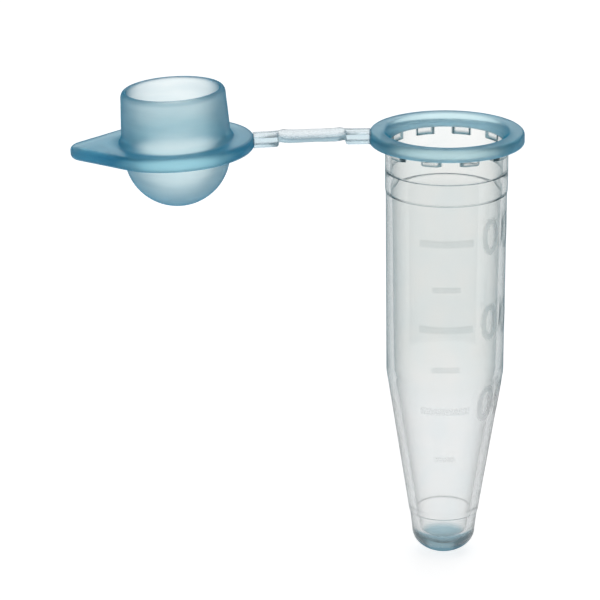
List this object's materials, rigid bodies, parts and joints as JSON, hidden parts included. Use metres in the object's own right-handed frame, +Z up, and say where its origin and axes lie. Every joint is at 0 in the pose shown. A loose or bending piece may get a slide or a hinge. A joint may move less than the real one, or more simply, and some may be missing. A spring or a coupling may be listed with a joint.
{
  "type": "microcentrifuge tube",
  "caption": "Small conical-bottom sample tube with raised level lines, a rimmed mouth, and a domed snap lid with hollow sealing plug held open on a folding strap.",
  "frame": {"origin": "on the tube axis, in the plane of the mouth collar's underside, where the tube hangs in a rack", "axes": "+Z up along the tube axis towards the mouth, -Z towards the closed tip, -X along the strap towards the open lid, -Y towards the graduated face"},
  "size_m": [0.0403, 0.0138, 0.0444],
  "materials": {
    "tube_wall": "satin translucent natural polypropylene with a faint blue tint",
    "tip_plastic": "the same plastic, thick at the closed base, so bluer",
    "rim_plastic": "the same plastic in the thick collar and its gussets",
    "level_marks": "fine matt raised lines moulded into the wall",
    "strap_plastic": "the same plastic in the thin folding strap",
    "lid_plastic": "the same plastic in the lid plate, dome and plug"
  },
  "bodies": {
    "tube": {"mouth_collar": "rim_plastic", "seal_section": "tube_wall", "barrel_wall": "tube_wall", "cone_wall": "tube_wall", "tip_base": "tip_plastic", "collar_gusset_01": "rim_plastic", "collar_gusset_02": "rim_plastic", "collar_gusset_03": "rim_plastic", "collar_gusset_04": "rim_plastic", "collar_gusset_05": "rim_plastic", "collar_gusset_06": "rim_plastic", "collar_gusset_07": "rim_plastic", "collar_gusset_08": "rim_plastic", "collar_gusset_09": "rim_plastic", "collar_gusset_10": "rim_plastic", "level_line_1500": "level_marks", "level_line_1250": "level_marks", "level_line_1000": "level_marks", "level_line_0750": "level_marks", "level_line_0500": "level_marks", "level_line_0250": "level_marks", "strap_root": "strap_plastic", "strap_web_tube_half": "strap_plastic"},
    "lid": {"strap_web_lid_half": "strap_plastic", "strap_lid_end": "strap_plastic", "lid_flange": "lid_plastic", "thumb_tab": "lid_plastic", "seal_wedge": "lid_plastic", "plug_wall": "lid_plastic", "dome_shell": "lid_plastic"}
  },
  "joints": [
    {"name": "lid_hinge", "type": "hinge", "parent": "tube", "child": "lid", "pos_m": [-0.0121, 0, 0.00115], "axis": [0, 1, 0], "range_deg": [-70, 183]}
  ]
}
